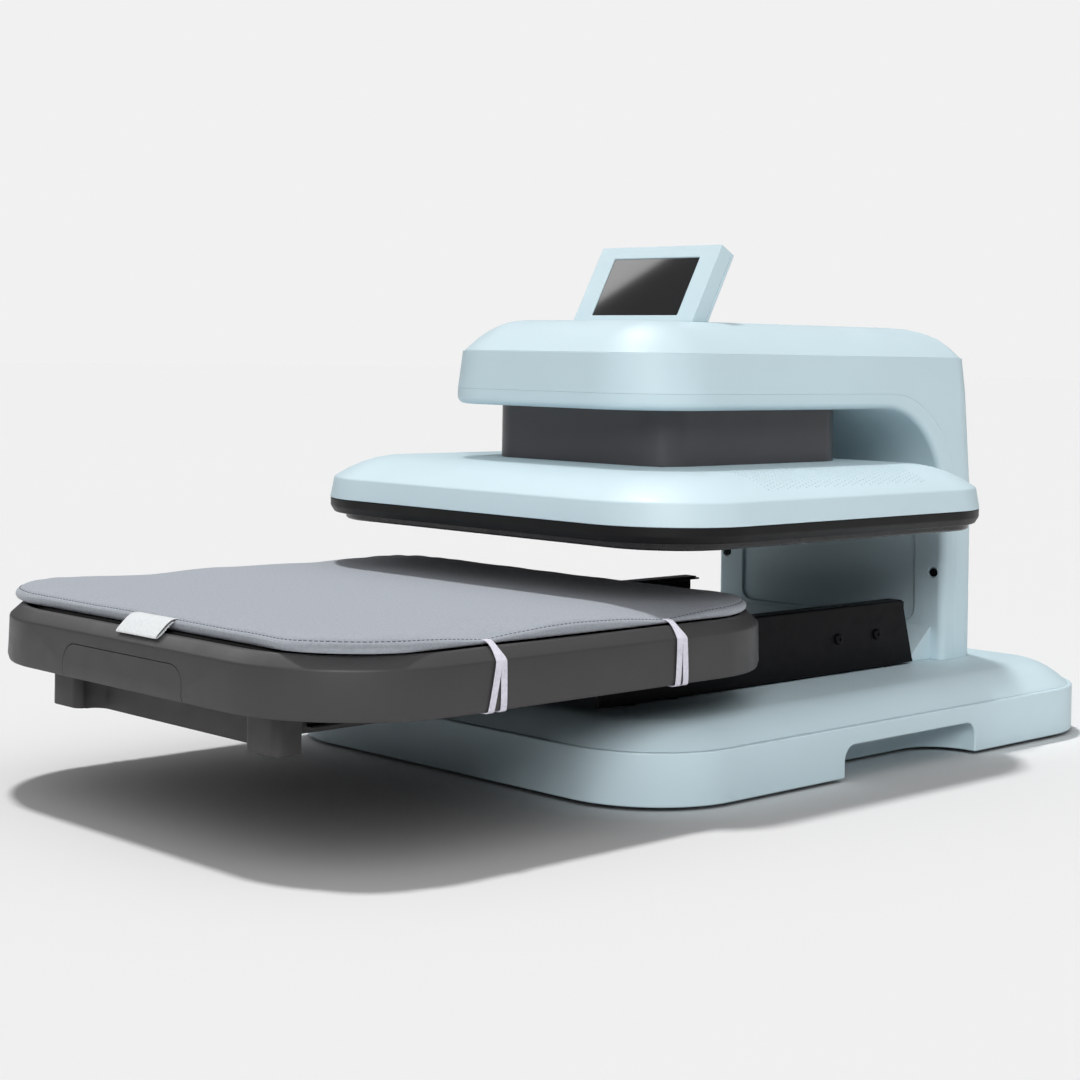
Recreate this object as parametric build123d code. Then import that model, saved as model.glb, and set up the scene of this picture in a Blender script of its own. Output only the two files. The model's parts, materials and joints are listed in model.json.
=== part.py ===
from build123d import *
import math
import os

# Heat press with a sliding lower platen, in millimetres.
# The origin is on the table, under the centre of the base.
# +X is the operator's right as they face the machine, +Y runs back to the column, +Z is up.
# It is drawn with the drawer fully out and the heated platen raised.

# ---------------------------------------------------------------- driving dimensions
PLATEN = 381.0          # the heated plate is 15 in square
WALL = 3.0              # moulded plastic walls
GAP = 0.3               # room between pieces that only lie side by side
PUSH_FIT = 0.1          # room round a stem or a bolt in its hole
DRAWER_TRAVEL = 272.0   # drawer fully in is this far along +Y
PRESS_TRAVEL = 33.0     # platen fully down is this far along -Z
SLIDE_RATIO = 0.5       # the middle slide member moves half as far as the drawer

BASE_X, BASE_Y, BASE_R = 208.0, 276.8, 76.5   # half width, half length, corner radius
FOOT_Z = 2.0            # the base shell stands this far off the table on its feet
LEDGE_Z = 38.5          # joint between the base's shell and its cover
DECK_Z = 55.5           # flat top of the base cover
LEDGE = 3.5             # the cover is this much smaller all round

PRESS_Y = -57.7         # centre of the press cover
COVER_X, COVER_Y, COVER_R = 205.0, 202.5, 77.0
BAND_Z = 176.0          # underside of the black insulating frame
COVER_Z = 187.3         # underside of the press cover
CREASE_Z = 203.6        # where the cover's wall turns into its domed top
COVER_TOP = 221.0
PLATE_Z, PLATE_THICK = 170.5, 12.0
PLATE_Y = -54.0         # centre of the heated plate

SHROUD_X, SHROUD_R = 95.0, 28.0
SHROUD_FRONT, SHROUD_REAR = -149.8, 67.2

HEAD_X, HEAD_FRONT, HEAD_R = 122.5, -191.8, 62.0
HEAD_Z = 263.0          # underside of the head
SHROUD_TOP = HEAD_Z + PRESS_TRAVEL + 0.5   # still inside the head with the platen down
SEAM_Z = 275.0          # joint between the inner and the outer housing
LID_Z = 304.5           # joint between the outer housing and the lid
LID_TOP = 329.0
DRAFT = 3.5             # the head narrows this much up to the lid
COLUMN_FRONT, COLUMN_REAR = 162.2, 219.2
COLUMN_R = 30.0
SEAM_Y = 179.2
THROAT_R, SEAM_R = 78.0, 90.0
LEAN_Y, LEAN_Z = 207.0, 190.0   # the rear face leans forward above this height, to here at the lid

TRAY_X, TRAY_R = 209.4, 98.0
TRAY_FRONT, TRAY_REAR = -548.8, -112.2
TRAY_Z, TRAY_CREASE, TRAY_RIM = 87.0, 117.5, 125.0
BEVEL = 9.0
DECK_UNDER = 111.5      # underside of the tray's deck
PAD_Z, PAD_TOP = 125.4, 136.4
PAD_X, PAD_FRONT, PAD_REAR, PAD_R = 199.0, -533.0, -139.0, 58.0
STRAP_Y = (-414.8, -252.8)

RAIL_X, RAIL_THICK = 118.6, 2.0
RAIL_FRONT, RAIL_REAR_TOP, RAIL_REAR_LOW = -237.0, 112.5, 127.5
RAIL_LOW, RAIL_TOP = 57.5, 108.5
SLIDE_LOW, SLIDE_HIGH = 62.0, 107.0
SLIDE_FRONT, SLIDE_REAR = -208.0, 117.0       # every slide member, with the drawer in
LEG_IN, LEG_OUT, LEG_FRONT, LEG_Z = 93.5, 128.0, -521.0, 58.8
LEG_WALL, LEG_R = 2.8, 7.0
APRON_Y = -505.0

SPINE_X, SPINE_THICK = 103.0, 5.0
FRAME_TOP = 50.0        # top of the steel frame inside the base
SPINE_TOP = 304.0
MECH_Z, MECH_THICK = 299.0, 5.0
SCREW_Y = -56.0
SCREW_R, ROD_R, RUNNING = 8.0, 8.0, 0.05
ROD_X, ROD_YS = 68.0, (-128.0, 16.0)
MOTOR_Y = 176.0
PULLEY_Z, PULLEY_THICK = 305.5, 7.0
BIG_PULLEY_R, SMALL_PULLEY_R, GROOVE = 24.0, 8.0, 1.5

SCREEN_X, SCREEN_LONG, SCREEN_THICK = 64.3, 68.1, 16.6
SCREEN_Y, SCREEN_Z, SCREEN_TILT = -86.5, 330.3, 29.1
BUTTON_X, BUTTON_UP, BUTTON_R = 54.0, 44.0, 3.0

INLET_X, ROCKER_X, REAR_Z = -58.0, 58.0, 90.0
ROCKER_Y, ROCKER_TILT = 215.0, 8.0

os.makedirs("parts", exist_ok=True)
parts = {}


# ---------------------------------------------------------------- shared shapes
def outline(half_x, front, rear, front_r, rear_r=None):
    """A rounded rectangle seen from above, symmetric about X = 0."""
    rear_r = front_r if rear_r is None else rear_r
    middle = (front + rear) / 2
    face = Pos(0, middle) * Rectangle(2 * half_x, rear - front)
    face = fillet(face.vertices().filter_by(lambda v: v.Y < middle), front_r)
    return fillet(face.vertices().filter_by(lambda v: v.Y > middle + 1).sort_by(Axis.Y)[-2:], rear_r)


def prism(half_x, front, rear, radius, low, high, rear_r=None):
    return extrude(Pos(0, 0, low) * outline(half_x, front, rear, radius, rear_r), high - low)


def crown(span, rise, slope, steps=5):
    """(inset, height) from a rim up to a flat top: a parabola that leaves the rim at this slope."""
    bend = rise / math.tan(math.radians(slope))
    points = []
    for i in range(steps + 1):
        t = i / steps
        points.append((2 * bend * t * (1 - t) + span * t * t, 2 * rise * t * (1 - t) + rise * t * t))
    return points


def stack(half_x, front, rear, radius, levels, rear_r=None):
    """A solid through rounded rectangles; each level is (inset, height)."""
    rear_r = radius if rear_r is None else rear_r
    faces = []
    for inset, z in levels:
        corners = max(radius - inset, 0.2 * radius), max(rear_r - inset, 0.2 * rear_r)
        faces.append(Pos(0, 0, z) * outline(half_x - inset, front + inset, rear - inset, *corners))
    return loft(faces, ruled=True)


def box(x0, x1, y0, y1, z0, z1):
    return Pos((x0 + x1) / 2, (y0 + y1) / 2, (z0 + z1) / 2) * Box(x1 - x0, y1 - y0, z1 - z0)


def rod(x, y, radius, low, high):
    return Pos(x, y, (low + high) / 2) * Cylinder(radius, high - low)


def drill(x, y, radius, z):
    """A cutter for an upright hole through whatever plate lies near this height."""
    return rod(x, y, radius, z - 10, z + 10)


def rod_x(x0, x1, y, z, radius):
    return Pos((x0 + x1) / 2, y, z) * Rot(0, 90, 0) * Cylinder(radius, x1 - x0)


def rod_y(x, y0, y1, z, radius):
    return Pos(x, (y0 + y1) / 2, z) * Rot(90, 0, 0) * Cylinder(radius, y1 - y0)


def side_plate(x0, x1, points):
    """A flat plate between two X planes, its outline given as (Y, Z) points."""
    face = make_face(Polyline(*points, close=True))
    return extrude(Pos(x0, 0, 0) * (Plane.YZ * face), x1 - x0)


def both_sides(solid):
    """The right-hand piece and its mirror image, as separate solids."""
    return [solid, mirror(solid, Plane.YZ)]


def keep(name, *solids):
    parts[name] = list(solids)


def keep_pair(name, solid):
    keep(name + "_right", solid)
    keep(name + "_left", mirror(solid, Plane.YZ))


# ---------------------------------------------------------------- base
ALCOVE_Y0, ALCOVE_Y1, ALCOVE_X, ALCOVE_Z, ALCOVE_R = -74.8, 86.2, 166.0, 25.0, 34.0


def alcove(grow, top):
    """The hand hold's space, or with grow the block whose skin is its wall."""
    y0, y1 = ALCOVE_Y0 - grow, ALCOVE_Y1 + grow
    low = 0 if grow == 0 else FOOT_Z
    plan = box(ALCOVE_X - grow, BASE_X + (10 if grow == 0 else -1), y0, y1, low, top)
    inner = plan.edges().filter_by(Axis.Z).sort_by(Axis.X)[:2]
    shape = fillet(inner, ALCOVE_R + grow)
    if grow == 0:
        roof = shape.edges().filter_by(Axis.X).filter_by(lambda e: e.center().Z > top - 1)
        shape = fillet(roof, 11)
    return shape


alcove_space = alcove(0, ALCOVE_Z)
alcove_block = alcove(WALL, ALCOVE_Z + WALL)
alcove_spaces = both_sides(alcove_space)
alcove_blocks = both_sides(alcove_block)

base_skin = prism(BASE_X, -BASE_Y, BASE_Y, BASE_R, FOOT_Z, LEDGE_Z)
base_hollow = prism(BASE_X - WALL, -BASE_Y + WALL, BASE_Y - WALL, BASE_R - WALL, 0, LEDGE_Z - WALL)
rim_hole = prism(BASE_X - 18, -BASE_Y + 18, BASE_Y - 18, BASE_R - 18, 0, LEDGE_Z + 1)
base_shell = base_skin - base_hollow - rim_hole
for block in alcove_blocks:
    base_shell = base_shell + block
for space in alcove_spaces:
    base_shell = base_shell - space
BOTTOM_Z, BOTTOM_THICK = 3.0, 1.2
BOSS_R, PLATE_SCREW_R, PLATE_SCREW_LONG = 5.0, 2.0, 9.0
PLATE_SCREWS = [(x, y) for x in (-196.0, 196.0) for y in (-160.0, 160.0)]
PLATE_SCREWS += [(x, y) for x in (-90.0, 90.0) for y in (-265.0, 265.0)]
for x, y in PLATE_SCREWS:
    base_shell += rod(x, y, BOSS_R, BOTTOM_Z + BOTTOM_THICK, LEDGE_Z - WALL)
    base_shell -= rod(x, y, PLATE_SCREW_R, 0, BOTTOM_Z + PLATE_SCREW_LONG)
keep("base_shell", base_shell)

cover_levels = [(x, LEDGE_Z + z) for x, z in crown(34, DECK_Z - LEDGE_Z, 42)]
under_levels = [(x + WALL, z - WALL) for x, z in cover_levels]
under_levels = [(WALL, LEDGE_Z - WALL - 1)] + under_levels
base_cover = stack(BASE_X - LEDGE, -BASE_Y + LEDGE, BASE_Y - LEDGE, BASE_R - LEDGE, cover_levels)
base_cover -= stack(BASE_X - LEDGE, -BASE_Y + LEDGE, BASE_Y - LEDGE, BASE_R - LEDGE, under_levels)
SHAFT_X, SHAFT_Y0, SHAFT_Y1 = 106.0, 166.0, 215.0    # hole that the steel spine passes through
base_cover -= box(-SHAFT_X, SHAFT_X, SHAFT_Y0, SHAFT_Y1, LEDGE_Z, DECK_Z + 5)

SPACER_X, SPACER_YS, SPACER_R = 108.0, (-200.0, -155.0, 47.5, 100.0), 7.5
BOLT_R = 3.0
for y in SPACER_YS:
    for x in (-SPACER_X, SPACER_X):
        base_cover -= drill(x, y, SPACER_R, DECK_Z)
keep("base_cover", base_cover)

FRAME_X, FRAME_FRONT, FRAME_REAR, FRAME_THICK = 150.0, -230.0, 225.0, 2.0
frame_web = box(-FRAME_X, FRAME_X, FRAME_FRONT, FRAME_REAR, FRAME_TOP - FRAME_THICK, FRAME_TOP)
frame_side = box(FRAME_X - FRAME_THICK, FRAME_X, FRAME_FRONT, FRAME_REAR, BOTTOM_Z + BOTTOM_THICK, FRAME_TOP)
base_frame = frame_web
for flange in both_sides(frame_side):
    base_frame = base_frame + flange
for y in SPACER_YS:
    for x in (-SPACER_X, SPACER_X):
        base_frame -= drill(x, y, BOLT_R + PUSH_FIT, FRAME_TOP)
keep("base_frame", base_frame)

FOOT_X, FOOT_YS, FOOT_R = 162.0, (-215.0, 215.0), 15.0
STEM_R, STEM_OUT = 8.0, 1.5     # the foot's stem snaps through the bottom plate
PLATE_EDGE = 4.0
bottom = prism(BASE_X - PLATE_EDGE, -BASE_Y + PLATE_EDGE, BASE_Y - PLATE_EDGE, BASE_R - PLATE_EDGE,
               BOTTOM_Z, BOTTOM_Z + BOTTOM_THICK)
for block in alcove_blocks:
    bottom -= block
feet = []
for x in (-FOOT_X, FOOT_X):
    for y in FOOT_YS:
        bottom -= drill(x, y, STEM_R + PUSH_FIT, BOTTOM_Z)
        foot = rod(x, y, FOOT_R, 0, BOTTOM_Z)
        foot = chamfer(foot.edges().sort_by(Axis.Z)[0], 0.8)
        feet.append(foot + rod(x, y, STEM_R, BOTTOM_Z, BOTTOM_Z + BOTTOM_THICK + STEM_OUT))
plate_screws = []
for x, y in PLATE_SCREWS:
    bottom -= drill(x, y, PLATE_SCREW_R + PUSH_FIT, BOTTOM_Z)
    head = rod(x, y, 2 * PLATE_SCREW_R, BOTTOM_Z - 1.8, BOTTOM_Z)
    plate_screws.append(head + rod(x, y, PLATE_SCREW_R, BOTTOM_Z, BOTTOM_Z + PLATE_SCREW_LONG))
keep("bottom_plate", bottom)
keep("rubber_feet", *feet)
keep("bottom_plate_screws", *plate_screws)


# ---------------------------------------------------------------- column and head housing
def throat_side(low_z, front_y, radius):
    """Everything under a head line and in front of a column line, which an arc joins."""
    far, below = HEAD_FRONT - 50, DECK_Z - 30
    centre_y, centre_z = front_y - radius, low_z - radius
    edge = [
        Line((far, low_z), (centre_y, low_z)),
        ThreePointArc(
            (centre_y, low_z),
            (centre_y + radius * math.sqrt(0.5), centre_z + radius * math.sqrt(0.5)),
            (front_y, centre_z),
        ),
        Line((front_y, centre_z), (front_y, below)),
        Line((front_y, below), (far, below)),
        Line((far, below), (far, low_z)),
    ]
    return extrude(Plane.YZ * make_face(edge), HEAD_X + 20, both=True)


def housing(inset):
    """The C-shaped housing under the lid, or its hollow where inset is the wall."""
    half_x, front, rear = HEAD_X - inset, HEAD_FRONT + inset, COLUMN_REAR - inset
    front_r, rear_r = HEAD_R - inset, COLUMN_R - inset
    low = DECK_Z - (10 if inset else 0)
    high = LID_Z + (10 if inset else 0)
    lean = (COLUMN_REAR - LEAN_Y) / (LID_Z - LEAN_Z)
    plan = prism(half_x, front, rear, front_r, low, LEAN_Z, rear_r)
    faces = []
    for z in (LEAN_Z, SEAM_Z, high):
        draft = max(0, DRAFT * (z - SEAM_Z) / (LID_Z - SEAM_Z))
        back = rear - lean * (z - LEAN_Z)
        ring = outline(half_x - draft, front + draft, back, front_r - draft, rear_r - draft)
        faces.append(Pos(0, 0, z) * ring)
    plan += loft(faces, ruled=True)
    return plan - throat_side(HEAD_Z + inset, COLUMN_FRONT + inset, THROAT_R + inset)


EDGE_R = 6.0            # rounding along the throat and the column's front corners
outer = housing(0)
lower_edges = [
    e
    for e in outer.edges()
    if abs(e.center().Z - HEAD_Z) < 0.5
    or (abs(abs(e.center().X) - HEAD_X) < 0.5 and e.geom_type == GeomType.CIRCLE and e.center().Y > 60)
    or (abs(abs(e.center().X) - HEAD_X) < 0.5 and abs(e.center().Y - COLUMN_FRONT) < 0.5)
]
lower_edges = [e for e in lower_edges if not (abs(e.center().X) < 1 and e.center().Y > 0)]
outer = fillet(lower_edges, EDGE_R)
shell = outer - housing(WALL)
seam_block = throat_side(SEAM_Z, SEAM_Y, SEAM_R)
inner_housing = shell & seam_block
outer_housing = shell - seam_block

FLOOR_GAP = 2.0
floor_hole = prism(SHROUD_X + FLOOR_GAP, SHROUD_FRONT - FLOOR_GAP, SHROUD_REAR + FLOOR_GAP,
                   SHROUD_R + FLOOR_GAP, HEAD_Z - 5, HEAD_Z + 8)
inner_housing -= floor_hole

PANEL_X, PANEL_LOW, PANEL_HIGH, PANEL_R = 94.0, 86.0, 178.0, 10.0
PANEL_DEEP = 2.5
window = Pos(0, COLUMN_FRONT, (PANEL_LOW + PANEL_HIGH) / 2) * Box(2 * PANEL_X, 20, PANEL_HIGH - PANEL_LOW)
window = fillet(window.edges().filter_by(Axis.Y), PANEL_R)
inner_housing -= window
HOUSING_SCREW_X, HOUSING_SCREW_Z = 112.3, 127.0
HEAD_R_SMALL, SHANK_R_SMALL, SUNK = 3.4, 1.6, 2.0
SEAT_ROOM, HEAD_HIGH = 1.2, 1.6
housing_screws = []
for x in (-HOUSING_SCREW_X, HOUSING_SCREW_X):
    seat_y = COLUMN_FRONT + SUNK
    inner_housing -= rod_y(x, COLUMN_FRONT - 1, seat_y, HOUSING_SCREW_Z, HEAD_R_SMALL + SEAT_ROOM)
    inner_housing -= rod_y(x, COLUMN_FRONT, COLUMN_FRONT + 2 * WALL, HOUSING_SCREW_Z, SHANK_R_SMALL)
    head = rod_y(x, seat_y - HEAD_HIGH, seat_y, HOUSING_SCREW_Z, HEAD_R_SMALL)
    for wide, high in ((3.6, 0.9), (0.9, 3.6)):
        head -= Pos(x, COLUMN_FRONT, HOUSING_SCREW_Z) * Box(wide, 2, high)
    housing_screws.append(head + rod_y(x, seat_y, COLUMN_FRONT + 4 * WALL, HOUSING_SCREW_Z, SHANK_R_SMALL))
keep("inner_housing", inner_housing)
keep("housing_screws", *housing_screws)

panel_back = COLUMN_FRONT + WALL
panel = box(-PANEL_X + GAP, PANEL_X - GAP, COLUMN_FRONT + PANEL_DEEP, panel_back,
            PANEL_LOW + GAP, PANEL_HIGH - GAP)
panel = fillet(panel.edges().filter_by(Axis.Y), PANEL_R)
panel += box(-PANEL_X - 2, PANEL_X + 2, panel_back, panel_back + 2, PANEL_LOW - 6, PANEL_HIGH + 4)
keep("column_front_panel", panel)

INLET_W, INLET_H = 28.0, 21.0
ROCKER_W, ROCKER_H = 26.0, 19.0
REAR_PLATE_X, REAR_PLATE_HIGH, REAR_PLATE_R = 86.0, 46.0, 6.0


def rear_plate_block(grow, y0, y1, radius):
    """The rear plate's outline, this much larger all round, between two Y planes."""
    x, z = REAR_PLATE_X + grow, REAR_PLATE_HIGH / 2 + grow
    block = box(-x, x, y0, y1, REAR_Z - z, REAR_Z + z)
    return fillet(block.edges().filter_by(Axis.Y), radius)


rear_inside = COLUMN_REAR - WALL
outer_housing -= rear_plate_block(0, rear_inside - 5, COLUMN_REAR + 5, REAR_PLATE_R)
rear_plate = rear_plate_block(-GAP, rear_inside, COLUMN_REAR, REAR_PLATE_R - GAP)
rear_plate += rear_plate_block(4, rear_inside - 2, rear_inside, REAR_PLATE_R + 4)
rear_plate -= Pos(INLET_X, COLUMN_REAR, REAR_Z) * Box(INLET_W, 20, INLET_H)
rear_plate -= Pos(ROCKER_X, COLUMN_REAR, REAR_Z) * Box(ROCKER_W, 20, ROCKER_H)
keep("rear_plate", rear_plate)
SLOT_COUNT, SLOT_PITCH, SLOT_HIGH, SLOT_WIDE = 13, 9.0, 34.0, 4.0
VENT_Z = 145.0
for i in range(SLOT_COUNT):
    x = (i - (SLOT_COUNT - 1) / 2) * SLOT_PITCH
    outer_housing -= Pos(x, COLUMN_REAR, VENT_Z) * Box(SLOT_WIDE, 20, SLOT_HIGH)
keep("outer_housing", outer_housing)

LID_STEP, LID_SPAN, LID_SLOPE = 1.2, 48.0, 46.0
lid_levels = [(x, LID_Z + z) for x, z in crown(LID_SPAN, LID_TOP - LID_Z, LID_SLOPE)]
lid_size = (HEAD_X - DRAFT - LID_STEP, HEAD_FRONT + DRAFT + LID_STEP, LEAN_Y - LID_STEP)
lid_r = (HEAD_R - DRAFT - LID_STEP, COLUMN_R - DRAFT - LID_STEP)
lid = stack(*lid_size, lid_r[0], lid_levels, lid_r[1])
lid -= stack(*lid_size, lid_r[0], [(x + WALL, z - WALL) for x, z in lid_levels], lid_r[1])
CABLE_Y = -75.0         # the display's wires go down through the lid here
lid -= drill(0, CABLE_Y, 6, LID_TOP)
keep("head_lid", lid)

FAIRING_X, FAIRING_FRONT, FAIRING_LOW, FAIRING_HIGH = 111.5, 136.2, 61.0, 83.0


def wedge(inset):
    """The sloping block in front of the column's foot, or its hollow."""
    front = FAIRING_FRONT + inset
    points = [(front, DECK_Z), (COLUMN_FRONT, DECK_Z), (COLUMN_FRONT, FAIRING_HIGH - 1.5 * inset)]
    return side_plate(-FAIRING_X + inset, FAIRING_X - inset, points + [(front, FAIRING_LOW - inset / 3)])


keep("foot_fairing", wedge(0) - wedge(WALL))

# ---------------------------------------------------------------- steel spine and lift mechanism
ARM_FRONT, ARM_REAR, ARM_LOW = -150.0, 188.0, 270.0
POST_FRONT, POST_REAR = 170.0, 212.0
spine = side_plate(
    SPINE_X - SPINE_THICK,
    SPINE_X,
    [
        (ARM_FRONT, ARM_LOW),
        (POST_FRONT - 20, ARM_LOW),
        (POST_FRONT, ARM_LOW - 20),
        (POST_FRONT, FRAME_TOP),
        (POST_REAR, FRAME_TOP),
        (POST_REAR, LEAN_Z + 10),
        (POST_REAR - 12, SPINE_TOP - 19),
        (ARM_REAR, SPINE_TOP),
        (ARM_FRONT, SPINE_TOP),
    ],
)
between = SPINE_X - SPINE_THICK
cross = box(-between, between, POST_FRONT + 1, POST_FRONT + 5, FRAME_TOP, LEAN_Z + 5)
keep("steel_spine", cross, *both_sides(spine))

mech = box(-between, between, ARM_FRONT, ARM_REAR, MECH_Z, MECH_Z + MECH_THICK)
for y in ROD_YS:
    for x in (-ROD_X, ROD_X):
        mech -= drill(x, y, ROD_R, MECH_Z)
BEARING_R = 14.0
SHAFT_R = 3.0
mech -= drill(0, SCREW_Y, BEARING_R, MECH_Z)
mech -= drill(0, MOTOR_Y, SHAFT_R + 1, MECH_Z)
keep("mechanism_plate", mech)

ROD_END = COVER_TOP + 3     # the rods and the screw stop just above the raised platen
keep("guide_rods", *[rod(x, y, ROD_R, ROD_END, MECH_Z + MECH_THICK) for x in (-ROD_X, ROD_X) for y in ROD_YS])

bearing = rod(0, SCREW_Y, BEARING_R, MECH_Z, MECH_Z + MECH_THICK)
bearing -= drill(0, SCREW_Y, SCREW_R + RUNNING, MECH_Z)
keep("screw_bearing", bearing)

screw = rod(0, SCREW_Y, SCREW_R, ROD_END + 2, PULLEY_Z + PULLEY_THICK + 2)
keep("lead_screw", screw)


def pulley(y, radius, bore):
    wheel = rod(0, y, radius, PULLEY_Z, PULLEY_Z + PULLEY_THICK)
    groove = rod(0, y, radius + 1, PULLEY_Z + 1, PULLEY_Z + PULLEY_THICK - 1)
    groove -= rod(0, y, radius - GROOVE, PULLEY_Z, PULLEY_Z + PULLEY_THICK)
    return wheel - groove - drill(0, y, bore, PULLEY_Z)


keep("screw_pulley", pulley(SCREW_Y, BIG_PULLEY_R, SCREW_R))
shaft = rod(0, MOTOR_Y, SHAFT_R, MECH_Z - 1, PULLEY_Z + PULLEY_THICK)
keep("motor_pulley", pulley(MOTOR_Y, SMALL_PULLEY_R, SHAFT_R) + shaft)

BELT_GAP, BELT_THICK = 0.3, 1.2


def belt_loop(extra):
    """The area inside a belt line that stands this far off both pulleys' grooves."""
    big, small = BIG_PULLEY_R - GROOVE + extra, SMALL_PULLEY_R - GROOVE + extra
    reach = MOTOR_Y - SCREW_Y
    lean = math.asin((big - small) / reach)
    cos, sin = math.cos(lean), math.sin(lean)
    tapered = Polyline(
        (big * cos, SCREW_Y + big * sin),
        (small * cos, MOTOR_Y + small * sin),
        (-small * cos, MOTOR_Y + small * sin),
        (-big * cos, SCREW_Y + big * sin),
        close=True,
    )
    return make_face(tapered) + Pos(0, SCREW_Y) * Circle(big) + Pos(0, MOTOR_Y) * Circle(small)


belt = belt_loop(BELT_GAP + BELT_THICK) - belt_loop(BELT_GAP)
keep("drive_belt", extrude(Pos(0, 0, PULLEY_Z + 1.4) * belt, PULLEY_THICK - 2.8))

GEARBOX_Z, GEARBOX_R, MOTOR_LONG = 262.0, 18.0, 40.0
motor = rod(0, MOTOR_Y, GEARBOX_R - 1, GEARBOX_Z - MOTOR_LONG, GEARBOX_Z)
gearbox = rod(0, MOTOR_Y, GEARBOX_R, GEARBOX_Z, MECH_Z)
gearbox -= rod(0, MOTOR_Y, SHAFT_R + 1, MECH_Z - 1.5, MECH_Z + 1)
keep("gear_motor", motor, gearbox)

# ---------------------------------------------------------------- electrics in the column and base
RIM, LIP = 2.0, 3.0     # both fittings have a rim this thick, this much wider than their hole


def rear_block(x, wide, high, y0, y1):
    return box(x - wide / 2, x + wide / 2, y0, y1, REAR_Z - high / 2, REAR_Z + high / 2)


def rear_fitting(x, wide, high, deep):
    """A plastic body through the rear wall, with a rim outside."""
    rim = rear_block(x, wide + 2 * LIP, high + 2 * LIP, COLUMN_REAR, COLUMN_REAR + RIM)
    return rim + rear_block(x, wide - 2 * GAP, high - 2 * GAP, COLUMN_REAR - deep, COLUMN_REAR)


SOCKET_W, SOCKET_H, SOCKET_DEEP, BLADE_LONG = 23.5, 16.5, 14.5, 12.0
socket_floor = COLUMN_REAR - SOCKET_DEEP
inlet = rear_fitting(INLET_X, INLET_W, INLET_H, 24)
inlet -= rear_block(INLET_X, SOCKET_W, SOCKET_H, socket_floor, COLUMN_REAR + RIM + 1)
for dx, dz in ((-7, -2), (0, 2), (7, -2)):
    blade = box(-0.9, 0.9, socket_floor - 0.5, socket_floor + BLADE_LONG - 0.5, -2, 2)
    inlet += Pos(INLET_X + dx, 0, REAR_Z + dz) * blade
keep("power_inlet", inlet)

ROCKER_HALF, PIN_R, PIN_LONG = 9.6, 1.5, 1.9
bezel = rear_fitting(ROCKER_X, ROCKER_W, ROCKER_H, 20)
bezel -= rear_block(ROCKER_X, 20.4, 18.6, COLUMN_REAR - 14, COLUMN_REAR + RIM + 1)
pin_hole = ROCKER_HALF + PIN_LONG + GAP
bezel -= rod_x(ROCKER_X - pin_hole, ROCKER_X + pin_hole, ROCKER_Y, REAR_Z, PIN_R + RUNNING)
keep("switch_bezel", bezel)
rocker = side_plate(-ROCKER_HALF, ROCKER_HALF, [(-4, -5), (5.8, -7.4), (3.4, 0), (5.8, 7.4), (-4, 5)])
rocker += rod_x(-ROCKER_HALF - PIN_LONG, ROCKER_HALF + PIN_LONG, 0, 0, PIN_R)
keep("power_rocker", Pos(ROCKER_X, ROCKER_Y, REAR_Z) * Rot(-ROCKER_TILT, 0, 0) * rocker)

BOARD_X, BOARD_LOW, BOARD_HIGH, BOARD_Y, BOARD_THICK = 70.0, 105.0, 185.0, 186.0, 1.6
board_face = BOARD_Y + BOARD_THICK
board = box(-BOARD_X, BOARD_X, BOARD_Y, board_face, BOARD_LOW, BOARD_HIGH)
CHIPS = ((-45, 165, 26, 22, 14), (-10, 162, 18, 18, 9), (30, 160, 30, 24, 12), (-40, 125, 30, 16, 16))
for x, z, wide, high, deep in CHIPS:
    board += box(x - wide / 2, x + wide / 2, board_face, board_face + deep, z - high / 2, z + high / 2)
posts = []
for x in (-BOARD_X + 6, BOARD_X - 6):
    for z in (BOARD_LOW + 6, BOARD_HIGH - 6):
        posts.append(rod_y(x, POST_FRONT + 5, BOARD_Y, z, 3))
keep("control_board", board, *posts)
keep("power_supply", box(-130, -40, -80, 60, BOTTOM_Z + BOTTOM_THICK, 38))

# ---------------------------------------------------------------- control display
screen_plane = Plane(
    origin=(0, SCREEN_Y, SCREEN_Z),
    x_dir=(1, 0, 0),
    z_dir=(0, -math.cos(math.radians(SCREEN_TILT)), math.sin(math.radians(SCREEN_TILT))),
)
above_lid = box(-80, 80, -200, 50, LID_TOP, LID_TOP + 90)


def on_screen(x0, x1, u0, u1, n0, n1):
    """A block in the display's own directions: across, up its face, and out of its face."""
    block = Pos((x0 + x1) / 2, (u0 + u1) / 2, (n0 + n1) / 2) * Box(x1 - x0, u1 - u0, n1 - n0)
    return screen_plane * block


REAR_SKIN = 2.5
BEZEL = 4.0
VIEW_X, VIEW_LOW, VIEW_HIGH = 46.0, 4.7, 57.0
display_case = on_screen(-SCREEN_X, SCREEN_X, -12, SCREEN_LONG, -SCREEN_THICK + REAR_SKIN, 0) & above_lid
display_case -= on_screen(-SCREEN_X + WALL, SCREEN_X - WALL, 2.5, SCREEN_LONG - WALL, -SCREEN_THICK, -BEZEL)
display_case -= on_screen(-VIEW_X, VIEW_X, VIEW_LOW, VIEW_HIGH, -BEZEL - 1, 1)
display_case -= rod(0, CABLE_Y, 4, LID_TOP - 1, LID_TOP + 8)
keep("display_case", display_case)
display_back = on_screen(-SCREEN_X, SCREEN_X, -14, SCREEN_LONG, -SCREEN_THICK, -SCREEN_THICK + REAR_SKIN)
display_back &= above_lid
button_hole = screen_plane * (Pos(BUTTON_X, BUTTON_UP, -15) * Cylinder(BUTTON_R + GAP, 8))
display_back -= button_hole
keep("display_back", display_back)
keep("screen_glass", on_screen(-VIEW_X + 0.1, VIEW_X - 0.1, VIEW_LOW + 0.1, VIEW_HIGH - 0.1, -2.6, -1.0))
display_board = on_screen(-50, 50, 8, 58, -10.6, -9.2) + on_screen(-30, 10, 16, 40, -9.2, -8.0)
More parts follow.
